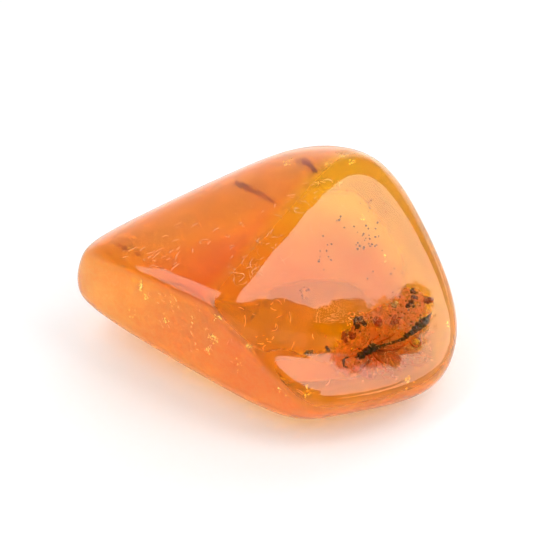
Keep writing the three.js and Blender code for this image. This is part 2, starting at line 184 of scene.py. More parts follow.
# Scraps: face, along, up, turn, (length, width, thickness), material
SCRAPS = {
    "bark_crumb": ("window", 4.8, -6.9, 15, (1.3, 1.3, 0.9), "dark_bark"),
    "brown_globule": ("window", 6.4, -7.5, 0, (0.9, 1.1, 0.8), "brown_resin"),
    "curled_flake": ("window", 3.2, -7.6, -20, (1.3, 0.8, 0.4), "red_bark"),
    "red_flake": ("window", 8.3, -7.9, 10, (1.5, 0.8, 0.5), "red_bark"),
    "pale_chip": ("window", 8.7, -6.5, 60, (1.0, 0.7, 0.5), "grey_scrap"),
    "black_crumb": ("window", 10.0, -7.3, 30, (1.2, 0.8, 0.7), "dark_bark"),
    "black_splinter": ("window", 10.9, -6.3, 70, (1.1, 0.5, 0.5), "dark_bark"),
    "rust_flake": ("window", 12.0, -7.4, -30, (1.0, 0.9, 0.3), "red_bark"),
    "left_chip": ("window", -0.9, -7.8, -15, (1.3, 0.7, 0.5), "grey_scrap"),
    "left_splinter": ("window", 0.9, -8.1, 75, (1.1, 0.4, 0.4), "dark_bark"),
    "plant_fibre": ("back_slope", -6.8, 4.75, 10, (6.2, 0.95, 0.5), "plant"),
    "bark_strip": ("back_slope", -5.7, 10.4, 0, (3.8, 1.0, 0.5), "plant"),
    "dark_thread": ("back_slope", -10.0, -7.6, 10, (3.8, 0.35, 0.3), "plant"),
}
# How a kind of scrap has crumbled: bits in each square millimetre, their half size, how flat and how long they
# are, and the spread of their turns in radians
CRUMBS = {
    "dark_bark": (16, 0.2, 0.7, 1.2, 1.5),
    "red_bark": (10, 0.26, 0.3, 1.4, 1.5),
    "grey_scrap": (14, 0.17, 0.5, 1.3, 1.5),
    "plant": (11, 0.17, 0.35, 1.8, 0.5),
}
LEAST_CRUMBS = 7
CRUMB_LEAN = 0.5  # radians
GLOBULE_SHARE = 0.46  # of its length, width and thickness, as half its size
GLOBULE_LUMPS = (0.405, 0.032)  # their size and depth

# What lies in the amber apart from those, by where the photograph shows it.
# Clusters of gold flecks: pixel, depth under the surface along the sight line (0 for cracks that reach the
# surface), spread, number
FLECKS = (
    ((141, 286), 0, 0.5, 40), ((146, 298), 0, 0.3, 10), ((166, 322), 0, 0.4, 32), ((213, 338), 0, 0.55, 46),
    ((208, 350), 0, 0.35, 14), ((218, 318), 0, 0.5, 10), ((248, 347), 0, 0.3, 16), ((190, 322), 0, 0.9, 10),
    ((130, 310), 0, 0.8, 8), ((240, 366), 0, 0.9, 12), ((170, 298), 0, 0.9, 8), ((280, 392), 0, 0.8, 10),
    ((288, 162), 0, 0.6, 26), ((341, 154), 0, 0.5, 30), ((327, 164), 0, 0.4, 14), ((350, 160), 0, 0.5, 10),
    ((407, 382), 0.5, 0.7, 14), ((447, 326), 0.5, 0.4, 9), ((310, 390), 0.5, 0.8, 14), ((362, 220), 1.0, 0.6, 6),
    ((388, 258), 1.0, 0.5, 5), ((262, 340), 0.7, 0.6, 6),
)
LIGHT_WAY = Vector((0.68, 0.05, 0.73))  # towards the light that the deeper flecks throw back
FLECK_SIZES = (0.03, 0.11)
FLECK_LEAN = 0.12  # in radians, of the deeper flecks
SURFACE_LEAN = 0.3  # the same, of those in the surface
STAND_OUT = 0.03  # the most that anything in the surface stands out of it
# Boxes of pixels (left, top, right, bottom) that hold many of a kind
WISP_AREAS = (
    (175, 215, 265, 255), (150, 255, 175, 275), (235, 250, 290, 335), (250, 185, 330, 240), (245, 330, 330, 395),
)
CURL_AREAS = ((335, 355, 400, 380), (385, 340, 432, 362), (345, 312, 385, 350), (385, 298, 432, 340))
SLOPE_AREAS = (
    (165, 225, 270, 262), (240, 205, 300, 250), (285, 180, 345, 205), (120, 250, 175, 272), (225, 255, 262, 290),
)
FLANK_AREAS = (
    (95, 275, 130, 300), (118, 290, 165, 318), (150, 300, 205, 334), (190, 318, 235, 352), (225, 335, 265, 372),
)
SPECK_AREAS = (
    (318, 235, 332, 265), (300, 284, 310, 300), (356, 228, 376, 252), (335, 185, 390, 240), (320, 240, 420, 300),
    (325, 305, 435, 365), (396, 320, 430, 348), (354, 342, 384, 364), (388, 296, 422, 320), (346, 314, 372, 334),
)
SPECK_DEPTHS = (0.15, 1.6)
SPECK_SIZES = (0.04, 0.11)
# Fine strands: their boxes, depth under the surface, length and radius
STRANDS = {
    "pale_wisps": (WISP_AREAS, (0.2, 0.9), (0.3, 1.1), 0.022),
    "flank_wisps": (FLANK_AREAS, (0.0, 0.05), (0.2, 0.7), 0.016),
    "slope_wisps": (SLOPE_AREAS, (0.0, 0.03), (0.3, 1.1), 0.018),
    "red_curls": (CURL_AREAS, (0.6, 2.4), (0.15, 0.5), 0.035),
    "pink_grains": (CURL_AREAS, (0.4, 1.6), (0.08, 0.3), 0.03),
}
STRAND_POINTS = 6
MOST_BEND = 0.8  # radians from one point to the next
STRAND_TAPER = 0.16  # of the radius, from one point to the next
# Ovals on the window: along, up, half length, half width, turn
PITTED = ((5.8, -8.9, 5.7, 2.6, 9), (10.1, -7.3, 1.8, 1.7, 0), (2.8, -6.2, 3.3, 1.6, -5))
HAZY = ((5.9, -8.9, 5.2, 2.5, 9), (10.4, -7.1, 1.7, 1.6, 0))
HAZE_SHEET = (5.9, -8.6, 6.8, 3.9, 9)
HAZE_DEPTH = 3.0  # of the sheet, under the window
HAZE_CRUMPLE = 0.35
HAZE_THICKNESS = 0.02

# Softboxes: place, size, turn about each axis in degrees, the setting that they follow and their share of it
SOFTBOXES = {
    "overhead_softbox": ((225, 8.65, 130), (400, 44.7), (0, 0, 0), "overhead", 1.0),
    "right_softbox": ((266.5, -44.4, 130), (317, 61.4), (0, 0, 0), "overhead", 1.0),
    "small_softbox": ((90, -25, 130), (36, 22.6), (0, 0, 0), "overhead", 1.0),
    "rear_softbox": ((230, 160, 130), (200, 160), (0, 0, 0), "overhead", 0.4),
    "left_softbox": ((-98, -17, 130), (162, 64), (0, 0, 48), "strip", 1.0),
    "front_softbox": ((0, -150, 140), (220, 120), (47, 0, 0), "front", 1.0),
}
BOUNCES = 24


class AmberSettings(bpy.types.PropertyGroup):
    refraction: FloatProperty(
        name="Refraction", description="Index of refraction of the amber", default=1.54, min=1.0, max=2.5,
    )
    absorbed: FloatVectorProperty(
        name="Colour", description="Colour that the amber gives to light on its way through",
        subtype="COLOR", size=3, min=0, max=1, default=(0.996, 0.917, 0.0),
    )
    density: FloatProperty(
        name="Depth of colour", description="How fast the colour deepens, per metre", default=300, min=0,
    )
    polish: FloatProperty(
        name="Polish", description="Roughness of the polished surface", default=0.03, min=0, max=1,
    )
    haze: FloatProperty(
        name="Haze", description="How much the amber blurs what is seen through it", default=0.8, min=0, max=1,
    )
    clarity: FloatProperty(
        name="Window haze", description="How much the window blurs", default=0.18, min=0, max=1,
    )
    slope_haze: FloatProperty(
        name="Slope haze", description="How much the back slope blurs", default=0.32, min=0, max=1,
    )
    waviness: FloatProperty(
        name="Waviness", description="Height of the soft waves that tumbling left",
        default=0.02 * MM, min=0, max=0.001, unit="LENGTH", precision=5,
    )
    finer: IntProperty(
        name="Finer", description="Times that the pebble's mesh is subdivided", default=2, min=0, max=2,
    )


class InclusionSettings(bpy.types.PropertyGroup):
    chitin: FloatVectorProperty(
        name="Chitin", description="Colour of the insect's body", subtype="COLOR", size=3, min=0, max=1,
        default=(0.02, 0.014, 0.012),
    )
    wing: FloatVectorProperty(
        name="Wing", description="Colour of the wings", subtype="COLOR", size=3, min=0, max=1,
        default=(0.85, 0.28, 0.18),
    )
    bark: FloatVectorProperty(
        name="Bark", description="Colour of the red bark flakes", subtype="COLOR", size=3, min=0, max=1,
        default=(0.5, 0.11, 0.05),
    )
    wisps: IntProperty(name="Wisps", description="Number of fine pale wisps", default=90, min=0, max=300)
    curls: IntProperty(
        name="Curls", description="Number of fine red curls and of pink grains", default=240, min=0, max=500,
    )
    specks: IntProperty(name="Specks", description="Number of dark specks", default=140, min=0, max=300)
    haze: FloatVectorProperty(
        name="Red haze", description="Colour of the haze round the insect",
        subtype="COLOR", size=3, min=0, max=1, default=(1.0, 0.46, 0.48),
    )


class StageSettings(bpy.types.PropertyGroup):
    overhead: FloatProperty(
        name="Overhead softboxes", description="Brightness of the softboxes above on the right", default=3.4, min=0,
    )
    strip: FloatProperty(
        name="Left softbox", description="Brightness of the strip above on the left", default=2.6, min=0,
    )
    front: FloatProperty(
        name="Front light", description="Brightness of the broad light above the camera", default=0.3, min=0,
    )
    room: FloatProperty(
        name="Walls", description="Brightness of the plain surroundings", default=1.15, min=0,
    )
    ceiling: FloatProperty(
        name="Ceiling", description="Brightness of the surroundings overhead", default=0.25, min=0,
    )
    rear: FloatProperty(
        name="Rear glow", description="Brightness added behind the pebble", default=1.5, min=0,
    )
    floor: FloatVectorProperty(
        name="Floor", description="Colour of the floor",
        subtype="COLOR", size=3, min=0, max=1, default=(0.95, 0.95, 0.95),
    )


# Shader maths


class Flow:
    """A value on its way through a material. Arithmetic on it adds Math nodes."""

    def __init__(self, paint, socket):
        self.paint = paint
        self.socket = socket

    def math(self, operation, *values):
        return self.paint.node("ShaderNodeMath", {"operation": operation}, dict(enumerate(values)))

    def __add__(self, other):
        return self.math("ADD", self, other)

    def __radd__(self, other):
        return self.math("ADD", other, self)

    def __sub__(self, other):
        return self.math("SUBTRACT", self, other)

    def __rsub__(self, other):
        return self.math("SUBTRACT", other, self)

    def __mul__(self, other):
        return self.math("MULTIPLY", self, other)

    def __rmul__(self, other):
        return self.math("MULTIPLY", other, self)

    def __truediv__(self, other):
        return self.math("DIVIDE", self, other)

    def step(self, low, high):
        """0 below low, 1 above high, and a soft rise between them."""
        settings = {"interpolation_type": "SMOOTHSTEP", "clamp": True}
        values = {"Value": self, "From Min": low, "From Max": high, "To Min": 0.0, "To Max": 1.0}
        return self.paint.node("ShaderNodeMapRange", settings, values)


class Paint:
    """A material that is built up node by node round one Principled shader."""

    def __init__(self, name, **constants):
        self.material = bpy.data.materials.new(name)
        self.material.use_nodes = True
        self.tree = self.material.node_tree
        self.tree.nodes.clear()
        self.output = self.tree.nodes.new("ShaderNodeOutputMaterial")
        self.shader = self.tree.nodes.new("ShaderNodeBsdfPrincipled")
        self.tree.links.new(self.shader.outputs["BSDF"], self.output.inputs["Surface"])
        self.surface(**constants)
        self.place = self.node("ShaderNodeTexCoord", {}, {}, "Object")

    def feed(self, node, values):
        for key, value in values.items():
            socket = node.inputs[key]
            if isinstance(value, Flow):
                self.tree.links.new(value.socket, socket)
            elif socket.type == "RGBA" and len(value) == 3:
                socket.default_value = (*value, 1.0)
            else:
                socket.default_value = value

    def node(self, kind, settings, values, output=0):
        """Adds a node, with its settings made first and then its sockets, and gives the flow out of it."""
        node = self.tree.nodes.new(kind)
        for key, value in settings.items():
            setattr(node, key, value)
        self.feed(node, values)
        return Flow(self, node.outputs[output])

    def noise(self, size, detail=3.0, roughness=0.55, distortion=0.0, seed=0.0):
        """Soft blotches of about the given size in millimetres, from 0 to 1."""
        shift = (seed, seed * 0.7, -seed)
        shifted = self.node("ShaderNodeVectorMath", {"operation": "ADD"}, {0: self.place, 1: shift})
        values = {
            "Vector": shifted, "Scale": 1 / (size * MM), "Detail": detail,
            "Roughness": roughness, "Distortion": distortion,
        }
        return self.node("ShaderNodeTexNoise", {}, values, "Fac")

    def reach(self, face, axis=2):
        """How far a point lies from the pebble's heart along (0), up (1) or out of (2) a face, in millimetres."""
        way = face_axes(face)[axis]
        values = {0: self.place, 1: way}
        distance = self.node("ShaderNodeVectorMath", {"operation": "DOT_PRODUCT"}, values, "Value")
        return distance / MM - HEART.dot(way)

    def patches(self, face, ovals, ragged):
        """1 inside ovals on a face and 0 outside them, with an edge that wanders the more the more ragged it is."""
        along, up = self.reach(face, 0), self.reach(face, 1)
        wander = 1 + (self.noise(1.0, detail=6, roughness=0.7, seed=0.04) - 0.5) * ragged
        inside = None
        for middle, rise, half_length, half_width, turn in ovals:
            cos, sin = math.cos(math.radians(turn)), math.sin(math.radians(turn))
            lengthwise = ((along - middle) * cos + (up - rise) * sin) / half_length
            crosswise = ((up - rise) * cos - (along - middle) * sin) / half_width
            oval = 1 - ((lengthwise * lengthwise + crosswise * crosswise) * wander).step(0.75, 1.15)
            inside = oval if inside is None else inside.math("MAXIMUM", inside, oval)
        return inside * self.reach(face).step(0, 1)

    def mix(self, factor, first, second):
        values = {0: factor, 6: first, 7: second}
        return self.node("ShaderNodeMix", {"data_type": "RGBA"}, values, 2)

    def bump(self, height, depth):
        """Raises the surface by up to depth millimetres where the height is 1."""
        values = {"Strength": 1.0, "Distance": depth * MM, "Height": height}
        self.feed(self.shader, {"Normal": self.node("ShaderNodeBump", {}, values, "Normal")})

    def surface(self, **values):
        """Feeds the shader's sockets, which are named in lower case with underscores."""
        for key, value in values.items():
            self.feed(self.shader, {key.replace("_", " ").title().replace("Ior", "IOR"): value})


# Places


def face_axes(face):
    azimuth, elevation = (math.radians(angle) for angle in FACES[face][:2])
    level = math.cos(elevation)
    out = Vector((level * math.cos(azimuth), level * math.sin(azimuth), math.sin(elevation)))
    along = Vector((-math.sin(azimuth), math.cos(azimuth), 0))
    return along, out.cross(along), out


def bed_matrix(face, along, up, turn):
    """Lays a piece made in millimetres on the bed under a face, in metres."""
    axes = face_axes(face)
    basis = Matrix(axes).transposed()
    place = basis @ Vector((along, up, FACES[face][2] - BED_DEPTH)) + HEART
    laid = Matrix.Scale(MM, 4) @ Matrix.Translation(place) @ basis.to_4x4()
    return laid @ Matrix.Rotation(math.radians(turn), 4, "Z")


def camera_stand():
    """The camera's eye, in metres, with the way back to it and the way up the picture."""
    tilt = math.radians(CAMERA_TILT)
    back = Vector((0, -math.cos(tilt), math.sin(tilt)))
    up = Vector((0, math.sin(tilt), math.cos(tilt)))
    return (CAMERA_AIM + CAMERA_DISTANCE * back) * MM, back, up


def sight_line(pixel):
    """The camera's eye and the way from it through a pixel of the photograph."""
    eye, back, up = camera_stand()
    right, rise = pixel[0] - PHOTO_SIDE / 2, PHOTO_SIDE / 2 - pixel[1]
    reach = PHOTO_SIDE * CAMERA_LENS / CAMERA_SENSOR
    return eye, (Vector((right, 0, 0)) + rise * up - reach * back).normalized()


def into_amber(way, normal, refraction):
    """The way that light takes inside the amber, once it has passed the surface."""
    facing = -way.dot(normal)
    return way / refraction + (facing / refraction - math.sqrt(1 - (1 - facing**2) / refraction**2)) * normal


def point_in_amber(pixel, depth):
    """The point that a pixel shows at a depth under the surface, with the way it is seen and the normal there."""
    eye, way = sight_line(pixel)
    hit, place, normal, _ = bpy.data.objects["amber"].ray_cast(eye, way)
    if not hit:
        raise ValueError(f"the sight line through {pixel} misses the pebble")
    inward = into_amber(way, normal, bpy.context.scene.amber_settings.refraction)
    return place + depth * MM * inward, inward, normal


# Mesh work


def deselect():
    if bpy.context.object and bpy.context.object.mode != "OBJECT":
        bpy.ops.object.mode_set(mode="OBJECT")
    bpy.ops.object.select_all(action="DESELECT")


def only(*pieces):
    deselect()
    for piece in pieces:
        piece.select_set(True)
    bpy.context.view_layer.objects.active = pieces[0]


def made(name):
    piece = bpy.context.object
    piece.name = name
    piece.data.name = name
    return piece


def ball(name, rings, half, at):
    """A round lump of the given half sizes, its place and size kept in its mesh."""
    deselect()
    counts = {"segments": 2 * rings, "ring_count": rings}
    bpy.ops.mesh.primitive_uv_sphere_add(**counts, radius=1, location=at, scale=half)
    bpy.ops.object.transform_apply(location=True, rotation=True, scale=True)
    return made(name)


def stone_ball(name, subdivisions):
    deselect()
    bpy.ops.mesh.primitive_ico_sphere_add(subdivisions=subdivisions, radius=1)
    return made(name)


def joined(name, pieces):
    only(*pieces)
    bpy.ops.object.join()
    return made(name)


def modifier(piece, kind, **settings):
    only(piece)
    added = piece.modifiers.new(kind.title(), kind)
    for key, value in settings.items():
        setattr(added, key, value)
    bpy.ops.object.modifier_apply(modifier=added.name)


def points_of(piece):
    points = np.empty(len(piece.data.vertices) * 3)
    piece.data.vertices.foreach_get("co", points)
    return points.reshape(-1, 3)


def put_points(piece, points):
    piece.data.vertices.foreach_set("co", np.ascontiguousarray(points).reshape(-1))
    piece.data.update()


def smooth(piece):
    only(piece)
    bpy.ops.object.shade_smooth()


def finish_piece(piece, material, slot, *nodes):
    """Gives a piece its material, lets it ride on the pebble and stand for its CAD nodes. The slot is not used."""
    piece.data.materials.clear()
    piece.data.materials.append(material)
    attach(piece, "root")
    if nodes:
        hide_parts(*nodes)
    return piece


def strands(name, lines, sides=3, steps=4):
    """Round strands through lines of (point, radius), in the unit of the points, as one mesh."""
    curve = bpy.data.curves.new(name, "CURVE")
    curve.dimensions = "3D"
    curve.bevel_depth = 1.0
    curve.bevel_resolution = sides
    curve.resolution_u = steps
    curve.use_fill_caps = True
    for line in lines:
        spline = curve.splines.new("NURBS")
        spline.points.add(len(line) - 1)
        spline.use_endpoint_u = True
        spline.order_u = 3
        for point, (place, radius) in zip(spline.points, line):
            point.co = (*place, 1.0)
            point.radius = radius
    piece = bpy.data.objects.new(name, curve)
    bpy.context.scene.collection.objects.link(piece)
    only(piece)
    bpy.ops.object.convert(target="MESH")
    return made(name)


def roughen(piece, size, depth, seed, steps=2):
    """Moves the surface in and out by up to depth, in blotches of the given size, in the piece's own unit."""
    points = points_of(piece)
    normals = np.empty(len(points) * 3)
    piece.data.vertices.foreach_get("normal", normals)
    normals = normals.reshape(-1, 3)
    shift = Vector((seed * 3.1, seed * 1.7, seed * 2.3))
    heights = [noise.fractal(Vector(point) / size + shift, 0.8, 2.2, steps) for point in points]
    put_points(piece, points + normals * (np.array(heights) * depth)[:, None])


# The pebble


def hollow_depth(rays, axes, distance, hollow):
    along, up, half_length, half_width, turn, depth = hollow
    reach = distance / np.maximum(rays @ np.array(axes[2]), 1e-6)
    across = (rays @ np.array(axes[0])) * reach - along
    rise = (rays @ np.array(axes[1])) * reach - up
    cos, sin = math.cos(math.radians(turn)), math.sin(math.radians(turn))
    lengthwise = (cos * across + sin * rise) / half_length
    crosswise = (cos * rise - sin * across) / half_width
    return depth * np.exp(-(lengthwise**2 + crosswise**2))


def on_surface(points):
    """Points, taken from the heart, moved onto the polished surface: the faces, blended where they meet."""
    rays = points / np.linalg.norm(points, axis=1)[:, None]
    total = np.zeros(len(rays))
    for face, (_, _, distance) in FACES.items():
        axes = face_axes(face)
        reach = np.full(len(rays), float(distance))
        if face == "window":
            for hollow in HOLLOWS:
                reach -= hollow_depth(rays, axes, distance, hollow)
        total += (np.maximum(rays @ np.array(axes[2]), 0) / reach) ** ROUNDNESS
    return rays * (total ** (-1 / ROUNDNESS))[:, None]


def held_in(points, most):
    """Points in metres, moved in to where they stand out of the pebble by no more than most millimetres."""
    points = np.array(points) / MM - np.array(HEART)
    limit = np.linalg.norm(on_surface(points), axis=1) + most
    points *= np.minimum(1, limit / np.linalg.norm(points, axis=1))[:, None]
    return np.clip((points + np.array(HEART)) * MM, CAD_BOX[0], CAD_BOX[1])


def evened(points, edges, passes):
    """Moves each point towards the middle of its neighbours and back onto the surface."""
    starts, neighbours = np.concatenate((edges, edges[:, ::-1])).T
    for _ in range(passes):
        sums = [np.bincount(starts, points[neighbours, axis], len(points)) for axis in range(3)]
        points = on_surface(np.stack(sums, axis=1))
    return points


class AMBER_OT_pebble(bpy.types.Operator):
    """Make the clear pebble of amber"""

    bl_idname = "amber.pebble"
    bl_label = "Amber Pebble"

    def execute(self, context):
        settings = context.scene.amber_settings
        pebble = stone_ball("amber", 5)
        for round_number in range(settings.finer + 1):
            if round_number:
                only(pebble)
                bpy.ops.object.mode_set(mode="EDIT")
                bpy.ops.mesh.select_all(action="SELECT")
                bpy.ops.mesh.subdivide(number_cuts=1)
                bpy.ops.object.mode_set(mode="OBJECT")
            edges = np.empty(len(pebble.data.edges) * 2, dtype=int)
            pebble.data.edges.foreach_get("vertices", edges)
            points = on_surface(points_of(pebble))
            put_points(pebble, evened(points, edges.reshape(-1, 2), EVENING_PASSES[round_number]))
        points = points_of(pebble)
        waves = [sum(share * noise.noise(Vector(point) / size) for size, share in WAVES) for point in points]
        heights = settings.waviness / MM * np.array(waves)
        points *= (1 + heights / np.linalg.norm(points, axis=1))[:, None]
        points = (points + np.array(HEART)) * MM
        put_points(pebble, np.clip(points, CAD_BOX[0], CAD_BOX[1]))
        smooth(pebble)
        finish_piece(pebble, amber_material(settings), "amber", "amber_lower", "amber_upper")
        return {"FINISHED"}


def amber_material(settings):
    paint = Paint(
        "amber_resin", ior=settings.refraction, transmission_weight=1.0,
        coat_roughness=settings.polish, coat_ior=settings.refraction, specular_tint=(0, 0, 0),
    )
    smudges = paint.noise(2.5, detail=4).step(0.45, 0.8)
    cloud = paint.noise(4, detail=3, seed=0.02).step(0.35, 0.65)
    streaks = paint.noise(0.7, detail=6, roughness=0.75, distortion=0.8, seed=0.01).step(0.4, 0.62)
    window, slope = (paint.reach(face).step(*limits) for face, limits in CLEAR_FACES.items())
    pitted = paint.patches("window", PITTED, 2.0)
    islands = paint.noise(0.22, detail=3, seed=0.06).step(0.52, 0.66)
    window_gain = window * (settings.haze - settings.clarity)
    slope_gain = slope * (settings.haze - settings.slope_haze)
    blur = settings.haze - window.math("MAXIMUM", window_gain, slope_gain) + smudges * 0.04
    # The flank's mottled tints are the amber's own; over them the back slope gets a darker, redder tint as painted
    # shade and the window a paler one as painted light.
    tint = paint.mix(cloud * 0.55 + streaks * 0.45, *FLANK_TINTS)
    tint = paint.mix(slope, tint, SLOPE_PAINTED_SHADE_TINT)
    paint.surface(
        base_color=paint.mix(window, tint, WINDOW_PAINTED_LIGHT_TINT),
        roughness=blur * (1 - pitted * 0.75),
        coat_weight=1 - pitted * (0.94 - islands * 0.45),
    )
    paint.bump(paint.noise(0.5, detail=5, roughness=0.7), 0.0012)
    volume = paint.tree.nodes.new("ShaderNodeVolumeAbsorption")
    volume.inputs["Color"].default_value = (*settings.absorbed, 1.0)
    volume.inputs["Density"].default_value = settings.density
    paint.tree.links.new(volume.outputs["Volume"], paint.output.inputs["Volume"])
    return paint.material


# The insect


class AMBER_OT_insect(bpy.types.Operator):
    """Make the insect: body, legs and feelers, wings"""

    bl_idname = "amber.insect"
    bl_label = "Insect"

    def execute(self, context):
        settings = context.scene.inclusion_settings
        place = bed_matrix(*INSECT_PLACE)
        lumps = [ball(f"lump_{i}", 12, half, at) for i, (at, half) in enumerate(BODY_LUMPS)]
        body = joined("insect_body", [*lumps, strands("stalks", STALKS)])
        modifier(body, "REMESH", mode="VOXEL", voxel_size=BODY_VOXEL)
        modifier(body, "SMOOTH", factor=0.5, iterations=2)
        roughen(body, *BODY_ROUGHNESS, 1)
        body.data.transform(place)
        smooth(body)
        finish_piece(body, chitin_material(settings), "insect", "insect")

        limbs = strands("insect_limbs", LIMBS, 2)
        limbs.data.transform(place)
        smooth(limbs)
        finish_piece(limbs, limb_material(), "insect", "insect")

        wings = joined("insect_wings", [wing(i, *plan) for i, plan in enumerate(WINGS)])
        wings.data.transform(place)
        smooth(wings)
        finish_piece(wings, wing_material(settings), "insect", "insect")
        return {"FINISHED"}


class AMBER_OT_haze(bpy.types.Operator):
    """Make the red haze round the insect: a crumpled, torn sheet of tiny cracks under it"""

    bl_idname = "amber.haze"
    bl_label = "Red Haze"

    def execute(self, context):
        along, up, half_length, half_width, turn = HAZE_SHEET
        deselect()
        bpy.ops.mesh.primitive_grid_add(x_subdivisions=90, y_subdivisions=45, size=2)
        sheet = made("red_haze")
        points = points_of(sheet)
        crumple = [noise.fractal(Vector((x * 3, y * 1.5, 8.0)), 0.9, 2.1, 4) for x, y, _ in points]
        square = points[:, :2].copy()
        points[:, :2] *= np.sqrt(1 - square[:, ::-1] ** 2 / 2) * (half_length, half_width)
        points[:, 2] = HAZE_CRUMPLE * np.array(crumple) + BED_DEPTH - HAZE_DEPTH
        put_points(sheet, points)
        modifier(sheet, "SOLIDIFY", thickness=HAZE_THICKNESS, offset=0.0)
        sheet.data.transform(bed_matrix("window", along, up, turn))
        smooth(sheet)
        finish_piece(sheet, haze_material(context.scene.inclusion_settings), "insect")
        return {"FINISHED"}


def haze_material(settings):
    paint = Paint("red_haze", specular_ior_level=0.0, transmission_weight=0.55, ior=1.0)
    torn = paint.noise(0.7, detail=6, roughness=0.7, seed=0.03).step(0.34, 0.6)
    grain = paint.noise(0.25, detail=4, roughness=0.7)
    edge = paint.patches("window", HAZY, 2.2)
    paint.surface(
        base_color=paint.mix(grain.step(0.5, 0.68), settings.haze, (0.75, 0.22, 0.18)),
        alpha=edge * (0.26 + torn * 0.6),
        roughness=0.3 + grain * 0.3,
    )
    paint.bump(grain, 0.03)
    return paint.material


def wing(number, root, turn, length, width):
    """A thin veined plate, narrow at the hinge and rounded at the tip, with a little crumple."""
    deselect()
    bpy.ops.mesh.primitive_grid_add(x_subdivisions=40, y_subdivisions=16, size=1)
    piece = made(f"wing_{number}")
    points = points_of(piece)
    along = points[:, 0] + 0.5
    across = points[:, 1] * 2
    swell = np.sin(np.pi * np.clip(along, 0, 1) ** 0.8 * 0.62) ** 0.9
    rounding = np.clip((along - TIP_STARTS) / (1 - TIP_STARTS), 0, 1)
    half = width * 0.5 * (HINGE_SHARE + (1 - HINGE_SHARE) * swell) * np.sqrt(np.clip(1 - rounding**2, 0.02, 1))
    middle = -BOW_SHARE * width * np.sin(np.pi * along * 0.6)
    spots = (Vector((u * 3, v * 1.5, number * 2.0)) for u, v in zip(along, across))
    heights = WING_CRUMPLE * np.array([noise.fractal(spot, 0.8, 2.1, 3) for spot in spots])
    put_points(piece, np.stack((along * length - HINGE_OVERLAP, middle + across * half, heights), axis=1))
    modifier(piece, "SOLIDIFY", thickness=WING_THICKNESS, offset=0.0)
    piece.data.transform(Matrix.Translation(Vector(root)) @ Matrix.Rotation(math.radians(turn), 4, "Z"))
    return piece


def chitin_material(settings):
    paint = Paint("insect_chitin", coat_weight=0.2, coat_roughness=0.15, specular_ior_level=0.3)
    blotches = paint.noise(0.5, detail=3)
    # The purple-grey patches are painted glints on the dark chitin.
    grey = paint.noise(0.35, detail=2, seed=0.01).step(0.5, 0.68)
    brown = paint.mix(blotches.step(0.45, 0.7), settings.chitin, (0.1, 0.022, 0.02))
    paint.surface(base_color=paint.mix(grey * 0.6, brown, (0.13, 0.09, 0.3)), roughness=0.28 + blotches * 0.3)
    paint.bump(paint.noise(0.12, detail=4), 0.02)
    return paint.material


def limb_material():
    paint = Paint("insect_limb", coat_weight=0.3, transmission_weight=0.5, ior=1.1)
    bands = paint.noise(0.6, detail=2, seed=0.03)
    colour = paint.mix(bands.step(0.35, 0.65), (0.35, 0.06, 0.03), (0.75, 0.2, 0.1))
    paint.surface(base_color=colour, roughness=0.35 + bands * 0.25)
    paint.bump(paint.noise(0.08, detail=3), 0.01)
    return paint.material


def wing_material(settings):
    paint = Paint("insect_wing", coat_weight=0.2, specular_ior_level=0.5, transmission_weight=0.5, ior=1.02)
    spread = paint.node("ShaderNodeTexCoord", {}, {}, "UV")
    stretched = paint.node("ShaderNodeMapping", {}, {"Vector": spread, "Scale": (2.2, 7.0, 1.0)})
    kind = {"feature": "DISTANCE_TO_EDGE", "voronoi_dimensions": "2D"}
    cells = paint.node("ShaderNodeTexVoronoi", kind, {"Vector": stretched, "Scale": 1.0}, "Distance")
    veins = 1 - cells.step(0.01, 0.07)
    torn = paint.noise(0.9, detail=4, seed=0.05).step(0.4, 0.68)
    tint = paint.mix(paint.noise(1.2, seed=0.07), settings.wing, (1.0, 0.5, 0.36))
    paint.surface(
        base_color=paint.mix(veins, tint, (0.4, 0.07, 0.03)),
        alpha=0.18 + veins * 0.45 + torn * 0.22,
        roughness=0.35 + torn * 0.3,
    )
    paint.bump(veins, 0.02)
    return paint.material


# Scraps


class AMBER_OT_scraps(bpy.types.Operator):
    """Make the crumbs, flakes, splinters and fibres of bark"""

    bl_idname = "amber.scraps"
    bl_label = "Scraps of Bark"

    def execute(self, context):
        settings = context.scene.inclusion_settings
        materials = {
            # The dark bark's bluish grey flecks are painted glints; the grey scrap's bluish white is partly its own
            # pale colour and partly painted glints.
            "dark_bark": bark_material(
                "dark_bark", (0.018, 0.011, 0.014), (0.16, 0.03, 0.04), (0.22, 0.2, 0.5),
            ),
            "red_bark": bark_material("red_bark", settings.bark, (0.25, 0.03, 0.02), (0.85, 0.4, 0.3)),
            "grey_scrap": bark_material("grey_scrap", (0.1, 0.07, 0.1), (0.85, 0.85, 1.0), (0.7, 0.45, 0.5)),
            "plant": bark_material("plant", (0.55, 0.16, 0.14), (0.2, 0.045, 0.05), (0.85, 0.36, 0.25)),
            "brown_resin": globule_material(),
        }
        for seed, (name, (face, along, up, turn, size, kind)) in enumerate(SCRAPS.items()):
            if kind == "brown_resin":
                piece = stone_ball(f"{name}_look", 5)
                put_points(piece, points_of(piece) * np.array(size) * GLOBULE_SHARE)
                roughen(piece, *GLOBULE_LUMPS, seed + 1, 4)
            else:
                piece = crumbled(f"{name}_look", Vector(size) / 2, kind, random.Random(seed))
            piece.data.transform(bed_matrix(face, along, up, turn))
            smooth(piece)
            finish_piece(piece, materials[kind], kind, name)
        return {"FINISHED"}


def leaned(chance, spread):
    """A random turn about X and then about Y, with the given spread in radians."""
    about_x = Matrix.Rotation(chance.gauss(0, spread), 4, "X")
    return about_x @ Matrix.Rotation(chance.gauss(0, spread), 4, "Y")


